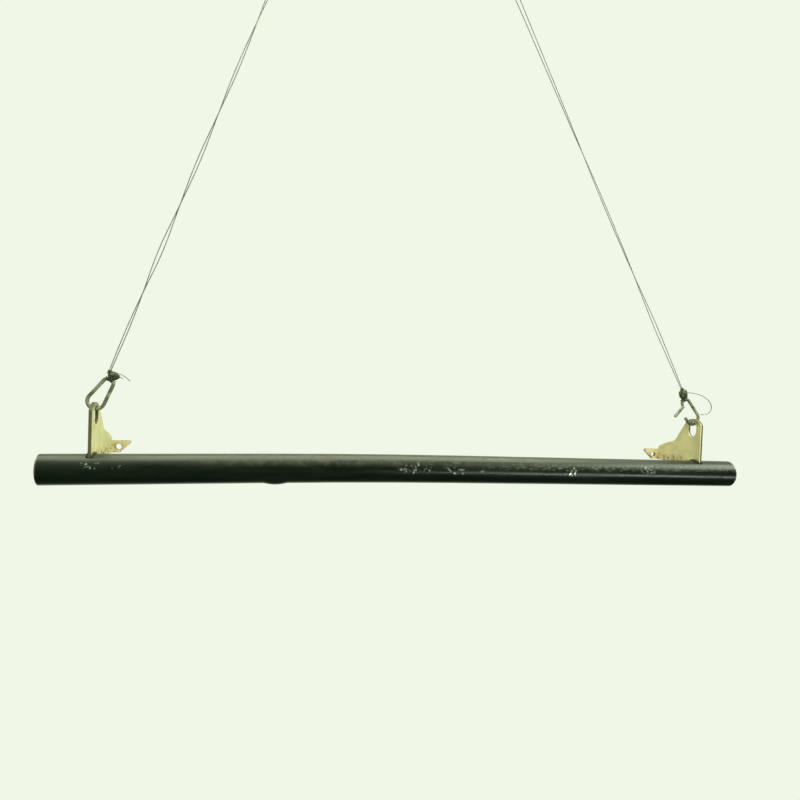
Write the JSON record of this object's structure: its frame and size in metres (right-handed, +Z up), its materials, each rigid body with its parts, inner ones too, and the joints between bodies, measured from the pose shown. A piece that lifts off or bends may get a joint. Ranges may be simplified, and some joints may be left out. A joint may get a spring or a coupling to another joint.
{
  "type": "hanging pull up bar",
  "caption": "Black steel tube with two pressed brackets, hung by snap hooks and doubled wires from two ceiling screw eyes.",
  "frame": {"origin": "on the ceiling's surface, midway between the two ceiling eyes", "axes": "+X along the bar to the right, +Y away from the user, +Z up into the ceiling"},
  "size_m": [0.8503, 0.0988, 0.6758],
  "materials": {
    "black_paint": "worn semi-gloss black paint",
    "passivated": "dull yellowish zinc with light rust",
    "weld": "rough weld bead",
    "zinc_rod": "tarnished zinc plating",
    "spring_steel": "bright",
    "wire": "dull binding wire",
    "eye_steel": "zinc-plated steel"
  },
  "bodies": {
    "ceiling_anchors": {"left_ceiling_eye": "eye_steel", "right_ceiling_eye": "eye_steel"},
    "suspension": {"left_wire": "wire", "right_wire": "wire", "left_wire_knot": "wire", "right_wire_knot": "wire", "left_wire_tail": "wire", "left_wire_tail_short": "wire", "right_wire_tail": "wire", "left_snap_hook": "zinc_rod", "right_snap_hook": "zinc_rod"},
    "left_gate_body": {"left_gate": "zinc_rod", "left_gate_pin": "zinc_rod", "left_gate_spring": "spring_steel", "left_gate_plunger": "spring_steel"},
    "right_gate_body": {"right_gate": "zinc_rod", "right_gate_pin": "zinc_rod", "right_gate_spring": "spring_steel", "right_gate_plunger": "spring_steel"},
    "bar": {"bar_tube": "black_paint", "left_bracket": "passivated", "right_bracket": "passivated", "left_bracket_weld": "weld", "right_bracket_weld": "weld"}
  },
  "joints": [
    {"name": "wire_swing", "type": "hinge", "parent": "ceiling_anchors", "child": "suspension", "pos_m": [0, 0, -0.015], "axis": [1, 0, 0], "range_deg": [-40, 40]},
    {"name": "bar_swing", "type": "hinge", "parent": "suspension", "child": "bar", "pos_m": [0.047, 0, -0.56407], "axis": [1, 0, 0], "range_deg": [-35, 35]},
    {"name": "left_gate_hinge", "type": "hinge", "parent": "suspension", "child": "left_gate_body", "pos_m": [-0.31054, 0, -0.5413], "axis": [0, 1, 0], "range_deg": [0, 33], "stiffness_Nm_per_rad": 0.004, "springref_deg": -22.92},
    {"name": "right_gate_hinge", "type": "hinge", "parent": "suspension", "child": "right_gate_body", "pos_m": [0.40359, 0, -0.54103], "axis": [0, 1, 0], "range_deg": [-55, 8], "stiffness_Nm_per_rad": 0.004, "springref_deg": 1.72}
  ]
}
